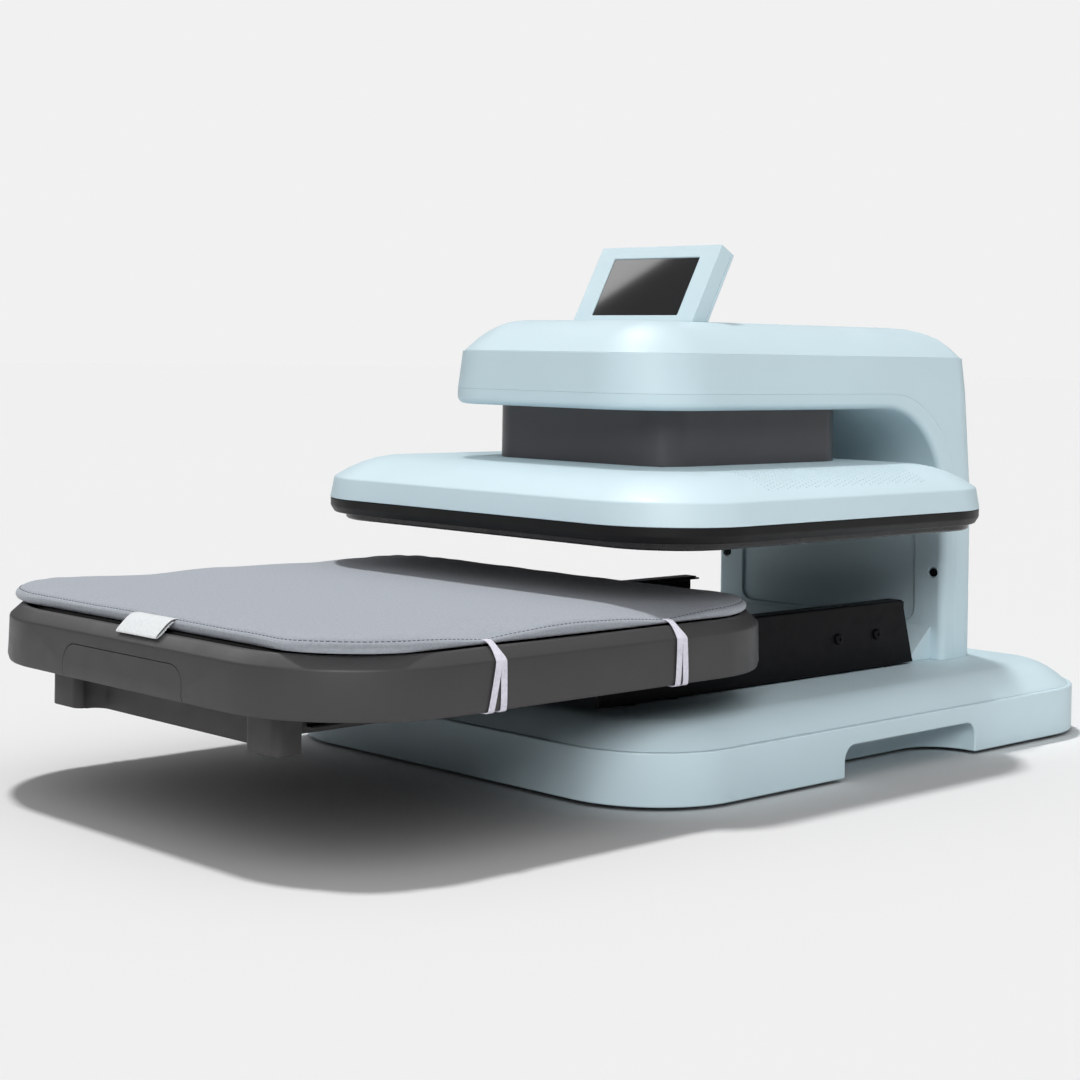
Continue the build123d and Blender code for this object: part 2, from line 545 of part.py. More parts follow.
keep("display_module", on_screen(-56, 56, 3.5, 60, -8.0, -BEZEL), display_board)
BUTTON_OUT = 5.0
button = Pos(BUTTON_X, BUTTON_UP, -SCREEN_THICK - BUTTON_OUT / 2 + 1.6) * Cylinder(BUTTON_R, BUTTON_OUT + 3.2)
button = fillet(button.edges().sort_by(Axis.Z)[0], 0.6)
button += Pos(BUTTON_X, BUTTON_UP, -13.3) * Cylinder(BUTTON_R + 1.2, 0.8)
keep("wake_button", screen_plane * button)

# ---------------------------------------------------------------- heated platen and its lift
cover_top_levels = [(x + 3, CREASE_Z + z) for x, z in crown(55, COVER_TOP - CREASE_Z, 34)]
cover_size = (COVER_X, PRESS_Y - COVER_Y, PRESS_Y + COVER_Y, COVER_R)
press_cover = stack(*cover_size, [(0, COVER_Z)] + cover_top_levels)
press_cover -= stack(*cover_size, [(WALL, COVER_Z - 1)] + [(x + WALL, z - WALL) for x, z in cover_top_levels])
BRIDGE_X, BRIDGE_FRONT, BRIDGE_REAR = 86.0, -142.0, 58.0
press_cover -= box(-BRIDGE_X - 2, BRIDGE_X + 2, BRIDGE_FRONT - 2, BRIDGE_REAR + 2,
                   COVER_TOP - 10, COVER_TOP + 10)
keep("press_cover", press_cover)

PLATE_R = 56.0
half = PLATEN / 2
BAND_CLEAR = 2.5
band = stack(*cover_size, [(3.5, BAND_Z), (0.4, BAND_Z + 5), (0.4, COVER_Z)])
band -= prism(half + BAND_CLEAR, PLATE_Y - half - BAND_CLEAR, PLATE_Y + half + BAND_CLEAR,
              PLATE_R + BAND_CLEAR, BAND_Z - 1, COVER_Z + 1)
keep("insulating_frame", band)

plate_top = PLATE_Z + PLATE_THICK
heat_plate = prism(half, PLATE_Y - half, PLATE_Y + half, PLATE_R, PLATE_Z, plate_top)
heat_plate = chamfer(heat_plate.faces().sort_by(Axis.Z)[0].edges(), 1.2)
keep("heat_plate", heat_plate)

STANDOFFS = [(x, PLATE_Y + y) for x in (-120.0, -40.0, 40.0, 120.0) for y in (-110.0, 110.0)]
HEATER_Z, BLANKET_Z, HANGER_Z, HANGER_THICK = plate_top, plate_top + 2, 202.0, 2.0
heater = prism(half - 8, PLATE_Y - half + 8, PLATE_Y + half - 8, PLATE_R - 8, HEATER_Z, BLANKET_Z)
blanket = prism(half - 3, PLATE_Y - half + 3, PLATE_Y + half - 3, PLATE_R - 3, BLANKET_Z, HANGER_Z - 1)
PROBE_X, PROBE_Y, CUTOUT_X = 12.0, PLATE_Y + 60.0, -12.0
for x, y in STANDOFFS + [(PROBE_X, PROBE_Y), (CUTOUT_X, PROBE_Y)]:
    heater -= rod(x, y, 8, plate_top - 1, HANGER_Z)
    blanket -= rod(x, y, 8, plate_top - 1, HANGER_Z)
keep("heating_element", heater)
keep("insulation_blanket", blanket)
keep("temperature_probe", rod(PROBE_X, PROBE_Y, 3, plate_top, plate_top + 10))
cutout = rod(CUTOUT_X, PROBE_Y, 7, plate_top, plate_top + 5)
keep("thermal_cutout", cutout + rod(CUTOUT_X, PROBE_Y, 4, plate_top + 5, plate_top + 11))
keep("plate_standoffs", *[rod(x, y, 5, plate_top, HANGER_Z) for x, y in STANDOFFS])
hanger = box(-150, 150, PLATE_Y - 130, PLATE_Y + 130, HANGER_Z, HANGER_Z + HANGER_THICK)
keep("hanger_plate", hanger)

BRIDGE_LOW, BRIDGE_TOP, LEG_INSET = 214.0, 222.0, 12.0
bridge = box(-BRIDGE_X, BRIDGE_X, BRIDGE_FRONT, BRIDGE_REAR, BRIDGE_LOW, BRIDGE_TOP)
bridge = fillet(bridge.edges().filter_by(Axis.Z), 22)
for x in (-BRIDGE_X + LEG_INSET, BRIDGE_X - LEG_INSET):
    for y in (BRIDGE_FRONT + LEG_INSET, BRIDGE_REAR - LEG_INSET):
        bridge += box(x - 10, x + 10, y - 10, y + 10, HANGER_Z + HANGER_THICK, BRIDGE_LOW)
BUSH_TOP = 290.0
bushes = []
for x in (-ROD_X, ROD_X):
    for y in ROD_YS:
        tube = rod(x, y, 13, BRIDGE_TOP, BUSH_TOP)
        bushes.append(tube - rod(x, y, ROD_R + RUNNING, BRIDGE_TOP - 1, BUSH_TOP + 1))
keep("guide_bushings", *bushes)
NUT_LOW, NUT_HIGH = 262.0, 288.0
bridge += rod(0, SCREW_Y, 20, BRIDGE_TOP, NUT_LOW) - rod(0, SCREW_Y, 11, BRIDGE_TOP - 1, NUT_LOW + 1)
keep("lift_bridge", bridge)
nut = rod(0, SCREW_Y, 20, NUT_LOW, NUT_LOW + 6) + rod(0, SCREW_Y, 14, NUT_LOW + 6, NUT_HIGH)
keep("lead_nut", nut - rod(0, SCREW_Y, SCREW_R + RUNNING, NUT_LOW - 1, NUT_HIGH + 1))

shroud = prism(SHROUD_X, SHROUD_FRONT, SHROUD_REAR, SHROUD_R, COVER_TOP, SHROUD_TOP)
shroud -= prism(SHROUD_X - 2, SHROUD_FRONT + 2, SHROUD_REAR - 2, SHROUD_R - 2, COVER_TOP - 1, SHROUD_TOP + 1)
keep("lift_shroud", shroud)

# ---------------------------------------------------------------- drawer rails and slides
FLANGE_FRONT = -208.0   # the bottom flange starts behind the closed drawer's legs
rail = side_plate(
    RAIL_X - RAIL_THICK,
    RAIL_X,
    [
        (RAIL_FRONT, RAIL_LOW),
        (RAIL_REAR_LOW, RAIL_LOW),
        (RAIL_REAR_TOP, RAIL_TOP),
        (RAIL_FRONT, RAIL_TOP),
    ],
)
rail += box(RAIL_X - 14, RAIL_X, RAIL_FRONT, RAIL_REAR_TOP, RAIL_TOP - 1.5, RAIL_TOP)
rail += box(RAIL_X - 24, RAIL_X, FLANGE_FRONT, RAIL_REAR_LOW, RAIL_LOW, RAIL_LOW + RAIL_THICK)
rail = chamfer(rail.edges().filter_by(Axis.Y).sort_by(lambda e: -e.center().X - e.center().Z)[0], 1.0)
RAIL_SCREW_YS, RAIL_SCREW_Z, SHANK_R = (-200.0, 29.2, 78.2), 83.5, 2.0
WEB = 1.4
outer_x = RAIL_X - RAIL_THICK


def channel(web_outer, reach, low, high, y0, y1):
    """A C-section slide member, its web on the +X side."""
    member = box(web_outer - reach, web_outer, y0, y1, low, high)
    return member - box(web_outer - reach - 1, web_outer - WEB, y0 - 1, y1 + 1, low + WEB, high - WEB)


outer_slide = channel(outer_x, 11.6, SLIDE_LOW, SLIDE_HIGH - 0.2, SLIDE_FRONT, SLIDE_REAR)
for y in RAIL_SCREW_YS:
    screw_hole = rod_x(outer_x - 2, RAIL_X + 1, y, RAIL_SCREW_Z, SHANK_R + PUSH_FIT)
    rail -= screw_hole
    outer_slide -= screw_hole
for y in SPACER_YS:
    rail -= drill(SPACER_X, y, BOLT_R + PUSH_FIT, RAIL_LOW)
keep_pair("rail", rail)
keep("slide_outer_members", *both_sides(outer_slide))
rail_screws = []
for y in RAIL_SCREW_YS:
    head = rod_x(RAIL_X, RAIL_X + 2.2, y, RAIL_SCREW_Z, 4.4)
    head = fillet(head.edges().sort_by(Axis.X)[-1], 1.4)
    head -= rod_x(RAIL_X + 1.0, RAIL_X + 3, y, RAIL_SCREW_Z, 1.5)
    shank = rod_x(outer_x - WEB, RAIL_X, y, RAIL_SCREW_Z, SHANK_R)
    rail_screws += both_sides(head + shank)

flange_top = RAIL_LOW + RAIL_THICK
spacers, bolts = [], []
for y in SPACER_YS:
    ring = rod(SPACER_X, y, SPACER_R, FRAME_TOP, RAIL_LOW)
    ring -= drill(SPACER_X, y, BOLT_R + PUSH_FIT, FRAME_TOP)
    bolt = rod(SPACER_X, y, BOLT_R, FRAME_TOP - 8, flange_top)
    bolt += rod(SPACER_X, y, 5, flange_top, flange_top + 2)
    spacers += both_sides(ring)
    bolts += both_sides(bolt)
keep("rail_spacers", *spacers)
keep("rail_fasteners", *rail_screws, *bolts)

mid_shift = -DRAWER_TRAVEL * SLIDE_RATIO
middle_slide = channel(outer_x - WEB - 1.6, 6.0, SLIDE_LOW + 3.5, SLIDE_HIGH - 3.7,
                       SLIDE_FRONT + mid_shift, SLIDE_REAR + mid_shift)
keep("slide_middle_members", *both_sides(middle_slide))
INNER_X, INNER_REACH, INNER_LOW, INNER_HIGH = 104.2, 5.6, 70.0, 99.0
inner_y = (SLIDE_FRONT - DRAWER_TRAVEL, SLIDE_REAR - DRAWER_TRAVEL)
inner_slide = box(INNER_X, INNER_X + INNER_REACH, *inner_y, INNER_LOW, INNER_HIGH)
inner_slide -= box(INNER_X + WEB, INNER_X + INNER_REACH + 1, inner_y[0] - 1, inner_y[1] + 1,
                   INNER_LOW + WEB, INNER_HIGH - WEB)
keep("slide_inner_members", *both_sides(inner_slide))

# ---------------------------------------------------------------- drawer
tray_levels = [(1.2, TRAY_Z), (0, TRAY_Z + 4), (0.8, TRAY_CREASE), (BEVEL, TRAY_RIM)]
tray = stack(TRAY_X, TRAY_FRONT, TRAY_REAR, TRAY_R, tray_levels)
tray -= prism(TRAY_X - 4.5, TRAY_FRONT + 4.5, TRAY_REAR - 4.5, TRAY_R - 4.5, TRAY_Z - 1, DECK_UNDER)
RECESS = 13.0
deck_top = DECK_UNDER + WALL
tray -= prism(TRAY_X - RECESS, TRAY_FRONT + RECESS, TRAY_REAR - RECESS, TRAY_R - RECESS, deck_top, 140)
notch = box(99.5, 123.5, TRAY_REAR - 20, TRAY_REAR + 20, TRAY_Z - 2, DECK_UNDER)
for cut in both_sides(notch):
    tray -= cut
GRIP_X, GRIP_HIGH, GRIP_R = 68.0, 109.5, 13.0
grip_hole = box(-GRIP_X, GRIP_X, TRAY_FRONT - 2, TRAY_FRONT + 8, TRAY_Z - 2, GRIP_HIGH)
grip_hole = fillet(grip_hole.edges().filter_by(Axis.Y).sort_by(Axis.Z)[-2:], GRIP_R)
tray -= grip_hole
keep("tray", tray)

grip = box(-GRIP_X + GAP, GRIP_X - GAP, TRAY_FRONT - 2, TRAY_FRONT + 4.5, TRAY_Z, GRIP_HIGH - GAP)
grip = fillet(grip.edges().filter_by(Axis.Y).sort_by(Axis.Z)[-2:], GRIP_R)
grip &= stack(TRAY_X, TRAY_FRONT, TRAY_REAR, TRAY_R, tray_levels)
keep("front_grip", grip)



def front_edges(block):
    """A block's two upright edges nearest the front, in order of X."""
    return block.edges().filter_by(Axis.Z).sort_by(Axis.Y)[:2].sort_by(Axis.X)


BEAM_X0, BEAM_X1, BEAM_LOW = 100.8, INNER_X, 66.0
beam = box(BEAM_X0, BEAM_X1, APRON_Y, TRAY_REAR - 28, BEAM_LOW, DECK_UNDER)
apron = box(-LEG_IN, LEG_IN, APRON_Y, APRON_Y + WALL, LEG_Z, DECK_UNDER)
leg = box(LEG_IN, LEG_OUT, LEG_FRONT, APRON_Y + WALL, LEG_Z, DECK_UNDER)
leg = fillet(front_edges(leg), LEG_R)
leg_hollow = box(BEAM_X0, LEG_OUT - LEG_WALL, LEG_FRONT + LEG_WALL, 0, LEG_Z - 1, DECK_UNDER + 1)
leg -= fillet(front_edges(leg_hollow)[-1], LEG_R - LEG_WALL)
COVE_R = 12.0
cove = box(LEG_IN - COVE_R, LEG_IN, APRON_Y - COVE_R, APRON_Y, LEG_Z, DECK_UNDER)
cove -= rod(LEG_IN - COVE_R, APRON_Y - COVE_R, COVE_R, LEG_Z - 1, DECK_UNDER + 1)
carriage = apron
for piece in both_sides(beam) + both_sides(leg) + both_sides(cove):
    carriage = carriage + piece
REAR_BAR_Y = TRAY_REAR - 40.0
carriage += box(-BEAM_X1, BEAM_X1, REAR_BAR_Y, REAR_BAR_Y + WALL, 80, DECK_UNDER)
keep("carriage", carriage)

PLATEN_THICK = 2.0
platen_top = deck_top + PLATEN_THICK
lower_platen = prism(TRAY_X - 15, TRAY_FRONT + 15, TRAY_REAR - 15, TRAY_R - 15, deck_top, platen_top)
keep("lower_platen", lower_platen)
keep("foam_mat", prism(190, TRAY_FRONT + 19, TRAY_REAR - 19, TRAY_R - 19, platen_top, PAD_Z - 0.4))
pad_body = prism(PAD_X, PAD_FRONT, PAD_REAR, PAD_R, PAD_Z, PAD_TOP)
pad_body = chamfer(pad_body.faces().sort_by(Axis.Z)[-1].edges(), 4)
keep("fabric_pad", pad_body)

STRAND, STRAP_THICK = 6.0, 0.8
strap_line = [
    (PAD_X + 0.4, 129.5),
    (TRAY_X - 0.4, TRAY_CREASE + 1.2),
    (TRAY_X + 0.4, TRAY_CREASE - 1),
    (TRAY_X + 0.4, TRAY_Z - 0.4),
    (TRAY_X - 7, TRAY_Z - 0.4),
]


def strand(y):
    """One flat elastic strand, from the pad's edge down the tray's wall and under it."""
    outside = [(x + STRAP_THICK, z) for x, z in strap_line[:3]]
    outside += [(strap_line[3][0] + STRAP_THICK, strap_line[3][1] - STRAP_THICK)]
    outside += [(strap_line[4][0], strap_line[4][1] - STRAP_THICK)]
    face = make_face(Polyline(*strap_line, *reversed(outside), close=True))
    return extrude(Pos(0, y, 0) * (Plane.XZ * face), STRAND / 2, both=True)


strands = []
for y in STRAP_Y:
    for offset in (-4.5, 4.5):
        strands += both_sides(strand(y + offset))
keep("pad_straps", *strands)
TAG_X, TAG_WIDE = 13.0, 45.0
tag = Pos(TAG_X, PAD_FRONT - 5.0, 128.6) * Rot(-52, 0, 0) * Box(TAG_WIDE, 1.6, 10)
keep("pad_tag", tag)

for name, pieces in parts.items():
    solids = [solid for piece in pieces for solid in piece.solids()]
    whole = solids[0] if len(solids) == 1 else Compound(children=solids)
    export_step(whole, f"parts/{name}.step")
print(len(parts), "nodes written")
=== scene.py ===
import json
import math

import bmesh
import bpy
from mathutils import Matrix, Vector, noise

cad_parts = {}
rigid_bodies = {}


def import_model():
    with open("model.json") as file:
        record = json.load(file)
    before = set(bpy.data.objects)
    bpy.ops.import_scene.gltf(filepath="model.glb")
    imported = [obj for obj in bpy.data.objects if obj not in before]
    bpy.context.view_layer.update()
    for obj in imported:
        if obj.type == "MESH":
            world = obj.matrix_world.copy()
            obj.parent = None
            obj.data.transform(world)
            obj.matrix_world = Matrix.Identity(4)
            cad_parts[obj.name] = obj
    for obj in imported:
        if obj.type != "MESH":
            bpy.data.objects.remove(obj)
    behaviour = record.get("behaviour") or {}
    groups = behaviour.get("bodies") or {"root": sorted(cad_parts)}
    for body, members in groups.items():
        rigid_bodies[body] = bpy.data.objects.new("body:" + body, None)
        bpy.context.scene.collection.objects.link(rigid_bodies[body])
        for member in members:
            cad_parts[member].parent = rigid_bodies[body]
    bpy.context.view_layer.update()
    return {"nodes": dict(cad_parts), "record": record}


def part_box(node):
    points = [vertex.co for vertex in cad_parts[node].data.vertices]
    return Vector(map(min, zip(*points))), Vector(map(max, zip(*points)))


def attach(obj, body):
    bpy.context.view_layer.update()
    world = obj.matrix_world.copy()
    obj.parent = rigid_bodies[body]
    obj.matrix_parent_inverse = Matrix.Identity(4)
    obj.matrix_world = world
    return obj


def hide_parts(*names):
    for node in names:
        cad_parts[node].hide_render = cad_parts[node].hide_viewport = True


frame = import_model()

# The looks of the heat press, in metres, in the CAD model's frame:
# +X is the operator's right, +Y runs back to the column, +Z is up, and the table is Z = 0.
MM = 0.001
NODES = frame["nodes"]
BODY = {node: body for body, nodes in frame["record"]["behaviour"]["bodies"].items() for node in nodes}
SLOT = {row["node"]: row["material_slot"] for row in frame["record"]["subparts"]}


# ---------------------------------------------------------------- materials
def plain(name, colour, roughness, **sockets):
    """A Principled material with these values on the shader's own sockets."""
    material = bpy.data.materials.new(name)
    material.use_nodes = True
    inputs = material.node_tree.nodes["Principled BSDF"].inputs
    inputs["Base Color"].default_value = (*colour, 1)
    inputs["Roughness"].default_value = roughness
    for socket, value in sockets.items():
        inputs[socket.replace("_", " ")].default_value = value
    return material


def shader_of(material):
    return material.node_tree.nodes["Principled BSDF"]


def object_noise(material, per_metre, detail=2.0, stretch=(1, 1, 1)):
    """Noise fixed to the object, with about this many features in a metre."""
    tree = material.node_tree
    coords = tree.nodes.new("ShaderNodeTexCoord")
    mapping = tree.nodes.new("ShaderNodeMapping")
    mapping.inputs["Scale"].default_value = stretch
    texture = tree.nodes.new("ShaderNodeTexNoise")
    texture.inputs["Scale"].default_value = per_metre
    texture.inputs["Detail"].default_value = detail
    tree.links.new(coords.outputs["Object"], mapping.inputs["Vector"])
    tree.links.new(mapping.outputs["Vector"], texture.inputs["Vector"])
    return texture.outputs["Fac"]


def bump(material, height, depth, strength=1.0):
    """Adds a relief this many metres deep on top of any that the material has."""
    tree = material.node_tree
    node = tree.nodes.new("ShaderNodeBump")
    node.inputs["Strength"].default_value = strength
    node.inputs["Distance"].default_value = depth
    tree.links.new(height, node.inputs["Height"])
    normal = shader_of(material).inputs["Normal"]
    if normal.is_linked:
        tree.links.new(normal.links[0].from_socket, node.inputs["Normal"])
    tree.links.new(node.outputs["Normal"], normal)


def remap(material, value, low, high, start=0.3, stop=0.7):
    tree = material.node_tree
    node = tree.nodes.new("ShaderNodeMapRange")
    node.inputs["From Min"].default_value = start
    node.inputs["From Max"].default_value = stop
    node.inputs["To Min"].default_value = low
    node.inputs["To Max"].default_value = high
    tree.links.new(value, node.inputs["Value"])
    return node.outputs["Result"]


def vary_colour(material, value, first, second, start=0.3, stop=0.7):
    """The base colour runs from first to second as value goes from start to stop."""
    tree = material.node_tree
    mix = tree.nodes.new("ShaderNodeMix")
    mix.data_type = "RGBA"
    mix.inputs["A"].default_value = (*first, 1)
    mix.inputs["B"].default_value = (*second, 1)
    tree.links.new(remap(material, value, 0, 1, start, stop), mix.inputs["Factor"])
    tree.links.new(mix.outputs["Result"], shader_of(material).inputs["Base Color"])


def vary_roughness(material, value, low, high):
    material.node_tree.links.new(remap(material, value, low, high), shader_of(material).inputs["Roughness"])


def shaded(colour, share):
    return tuple(part * share for part in colour)


def moulded(name, colour, roughness, grain=900, depth=0.00003, spread=0.04, **sockets):
    """Moulded plastic: a fine even grain, slow drifts of colour, and a slightly uneven sheen."""
    material = plain(name, colour, roughness, **sockets)
    drift = object_noise(material, 9, 3)
    vary_colour(material, drift, shaded(colour, 1 - spread), shaded(colour, 1 + spread / 2))
    vary_roughness(material, object_noise(material, 60, 4), roughness - 0.04, roughness + 0.05)
    bump(material, object_noise(material, grain, 2), depth)
    return material


def powder_coat(name, colour, roughness, **sockets):
    """Baked powder paint, with an orange-peel surface."""
    material = plain(name, colour, roughness, **sockets)
    vary_colour(material, object_noise(material, 25, 4), shaded(colour, 0.85), shaded(colour, 1.15))
    vary_roughness(material, object_noise(material, 120, 3), roughness - 0.05, roughness + 0.07)
    bump(material, object_noise(material, 420, 3), 0.00006)
    return material


def metal(name, colour, roughness, brush=(1, 1, 1), grain=700):
    """Bare metal, whose fine scratches run along the axis where brush is smallest."""
    material = plain(name, colour, roughness, Metallic=1.0)
    scratches = object_noise(material, grain, 3, brush)
    vary_roughness(material, scratches, roughness - 0.06, roughness + 0.08)
    vary_colour(material, object_noise(material, 30, 4), shaded(colour, 0.9), colour)
    bump(material, scratches, 0.00001)
    return material


def weave(material, per_metre, depth):
    """Two crossed sets of ribs, as in a knit or a woven tape."""
    tree = material.node_tree
    coords = tree.nodes.new("ShaderNodeTexCoord")
    ribs = []
    for direction in ("X", "Y"):
        wave = tree.nodes.new("ShaderNodeTexWave")
        wave.bands_direction = direction
        wave.inputs["Scale"].default_value = per_metre
        wave.inputs["Distortion"].default_value = 1.5
        wave.inputs["Detail"].default_value = 1.0
        tree.links.new(coords.outputs["Object"], wave.inputs["Vector"])
        ribs.append(wave.outputs["Fac"])
    both = tree.nodes.new("ShaderNodeMath")
    both.operation = "MULTIPLY"
    tree.links.new(ribs[0], both.inputs[0])
    tree.links.new(ribs[1], both.inputs[1])
    bump(material, both.outputs["Value"], depth)


def cloth_material(name, colour, deep, knit, depth, sheen=0.3):
    """Fabric: a knit or weave, a nap over it, and slow colour drifts."""
    material = plain(name, colour, 0.92, Sheen_Weight=sheen, Sheen_Roughness=0.45)
    vary_colour(material, object_noise(material, 520, 5), deep, colour, 0.25, 0.6)
    weave(material, knit, depth)
    bump(material, object_noise(material, 1500, 3), depth * 0.8)
    bump(material, object_noise(material, 60, 3), depth * 3, 0.5)
    return material


BLUE = (0.555, 0.69, 0.745)
MATERIALS = {
    "blue_shell": moulded("pale_blue_plastic", BLUE, 0.48, spread=0.03),
    "button_plastic": moulded("button_plastic", BLUE, 0.35),
    "dark_shell": moulded("dark_grey_plastic", (0.048, 0.046, 0.047), 0.45, grain=700, depth=0.00006,
                          Specular_IOR_Level=0.4),
    "shroud_plastic": moulded("shroud_plastic", (0.054, 0.052, 0.058), 0.33, grain=1100, depth=0.000008),
    "black_plastic": moulded("black_plastic", (0.008, 0.008, 0.008), 0.42, grain=1000, depth=0.00001,
                             Specular_IOR_Level=0.2),
    "black_steel": powder_coat("black_powder_coat", (0.003, 0.003, 0.004), 0.40, Specular_IOR_Level=0.1),
    "bottom_paint": powder_coat("grey_powder_coat", (0.42, 0.43, 0.45), 0.5),
    "plate_coating": powder_coat("non_stick_coating", (0.014, 0.013, 0.014), 0.30),
    "steel": metal("plated_steel", (0.55, 0.55, 0.56), 0.38),
    "cast_aluminium": metal("cast_aluminium", (0.55, 0.55, 0.56), 0.5, grain=300),
    "bright_steel": metal("bright_steel", (0.68, 0.68, 0.69), 0.22, brush=(1, 0.02, 1)),
    "brass": metal("brass", (0.72, 0.53, 0.24), 0.3),
    "pulley_metal": metal("bare_aluminium", (0.75, 0.75, 0.76), 0.33),
    "motor_paint": powder_coat("black_motor_paint", (0.02, 0.02, 0.022), 0.4),
    "rubber": moulded("rubber", (0.012, 0.012, 0.012), 0.75, grain=500, depth=0.0001),
    "pad_fabric": cloth_material("brushed_knit", (0.60, 0.64, 0.71), (0.50, 0.545, 0.61), 420, 0.00015),
    "strap_elastic": cloth_material("elastic", (0.72, 0.71, 0.80), (0.60, 0.59, 0.68), 700, 0.0001, 0.2),
    "tag_cloth": cloth_material("woven_tape", (0.70, 0.72, 0.73), (0.62, 0.64, 0.65), 900, 0.00005, 0.1),
    "insulation": cloth_material("ceramic_blanket", (0.75, 0.74, 0.70), (0.6, 0.6, 0.56), 200, 0.0004, 0.1),
    "screen_glass": plain("screen_glass", (0.006, 0.006, 0.007), 0.04),
    "circuit": moulded("circuit_board", (0.02, 0.12, 0.05), 0.35),
}
bump(MATERIALS["screen_glass"], object_noise(MATERIALS["screen_glass"], 14, 1), 0.00002, 0.2)


def paint(obj, slot):
    obj.data.materials.clear()
    obj.data.materials.append(MATERIALS[slot])


for node, slot in SLOT.items():
    paint(NODES[node], slot)


# ---------------------------------------------------------------- mesh tools
def add_piece(name, mesh, body, slot, replaced=()):
    """A new visible piece that rides on a body and takes a material slot."""
    obj = bpy.data.objects.new(name, mesh)
    bpy.context.scene.collection.objects.link(obj)
    paint(obj, slot)
    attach(obj, body)
    if replaced:
        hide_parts(*replaced)
    return obj


def settle(obj):
    """Turns the object's modifiers into its mesh."""
    evaluated = obj.evaluated_get(bpy.context.evaluated_depsgraph_get())
    mesh = bpy.data.meshes.new_from_object(evaluated)
    obj.modifiers.clear()
    obj.data = mesh
    return obj


def smooth(mesh, angle):
    """Shades a mesh smooth, except over edges sharper than angle."""
    for polygon in mesh.polygons:
        polygon.use_smooth = True
    mesh.set_sharp_from_angle(angle=math.radians(angle))


def clean_copy(node):
    """A CAD node's mesh with shared corners and whole flat faces."""
    mesh = NODES[node].data.copy()
    mesh.name = node + "_mesh"
    if "custom_normal" in mesh.attributes:
        mesh.attributes.remove(mesh.attributes["custom_normal"])
    work = bmesh.new()
    work.from_mesh(mesh)
    bmesh.ops.remove_doubles(work, verts=work.verts, dist=2e-6)
    bmesh.ops.dissolve_limit(work, angle_limit=math.radians(0.6), verts=work.verts, edges=work.edges)
    if node in MOST_CORNERS:
        ringed = [face for face in work.faces if len(face.verts) > MOST_CORNERS[node]]
        bmesh.ops.triangulate(work, faces=ringed, ngon_method="BEAUTY")
    work.to_mesh(mesh)
    work.free()
    return mesh


EDGE_SEGMENTS, EDGE_ANGLE = 3, 28


def soften(obj, width, slide):
    """Rounds every edge sharper than EDGE_ANGLE; slide lets a corner follow the face's own edges."""
    bevel = obj.modifiers.new("edges", "BEVEL")
    bevel.width = width
    bevel.segments = EDGE_SEGMENTS
    bevel.limit_method = "ANGLE"
    bevel.angle_limit = math.radians(EDGE_ANGLE)
    bevel.use_clamp_overlap = False
    bevel.loop_slide = slide
    bevel.miter_outer = "MITER_ARC"
    bevel.harden_normals = True
    smooth(obj.data, EDGE_ANGLE)
    return settle(obj)


def round_level(mesh, height, width, segments=4):
    """Rounds the edges that run round a shape at one height."""
    work = bmesh.new()
    work.from_mesh(mesh)
    level = [edge for edge in work.edges if all(abs(vert.co.z - height) < 0.1 * MM for vert in edge.verts)]
    bmesh.ops.bevel(work, geom=level, offset=width, segments=segments, profile=0.5, affect="EDGES")
    work.to_mesh(mesh)
    work.free()


def softened(node, width):
    """The CAD node's shape with rounded edges, in its place."""
    mesh = clean_copy(node)
    for height, wide in ROUNDED_LEVELS.get(node, ()):
        round_level(mesh, height * MM, wide * MM)
    obj = add_piece(node + "_finished", mesh, BODY[node], SLOT[node], [node])
    return soften(obj, width, node not in MOST_CORNERS)


# ---------------------------------------------------------------- hard pieces
# node: the most corners a flat face keeps; one with more, running round holes, is split into triangles
MOST_CORNERS = {"base_shell": 60, "outer_housing": 4, "insulating_frame": 60}
EDGE_WIDTHS = {
    "base_shell": 1.3,
    "base_cover": 0.7,
    "bottom_plate": 0.25,
    "rubber_feet": 0.4,
    "inner_housing": 0.45,
    "outer_housing": 0.45,
    "rear_plate": 0.45,
    "head_lid": 0.8,
    "column_front_panel": 0.5,
    "foot_fairing": 0.9,
    "display_case": 0.9,
    "display_back": 0.9,
    "insulating_frame": 0.8,
    "heat_plate": 0.3,
    "lift_shroud": 0.5,
    "tray": 0.6,
    "front_grip": 0.3,
    "carriage": 0.8,
    "rail_right": 0.5,
    "rail_left": 0.5,
    "rail_spacers": 0.4,
    "rail_fasteners": 0.15,
    "housing_screws": 0.15,
    "power_inlet": 0.4,
    "switch_bezel": 0.5,
    "power_rocker": 0.5,
    "wake_button": 0.2,
    "slide_outer_members": 0.25,
    "slide_middle_members": 0.25,
    "slide_inner_members": 0.25,
    "lower_platen": 0.3,
    "foam_mat": 1.2,
    "press_cover": 0.6,
}
# node: (height, width) of creases that are rounded more than the node's other edges
ROUNDED_LEVELS = {
    "tray": ((117.5, 1.1), (125.0, 1.6)),
    "press_cover": ((203.6, 1.2),),
}
finished = {node: softened(node, width * MM) for node, width in EDGE_WIDTHS.items()}


# ---------------------------------------------------------------- vents in the press cover
VENT_ROWS, VENT_COLUMNS = 36, 14
VENT_PITCH_X, VENT_PITCH_Y = 3.4 * MM, 5.3 * MM
VENT_RADIUS = 0.85 * MM
VENT_EDGE = 15 * MM         # from the cover's side to the outermost hole
VENT_FRONT = 116 * MM       # from the cover's front to the first row


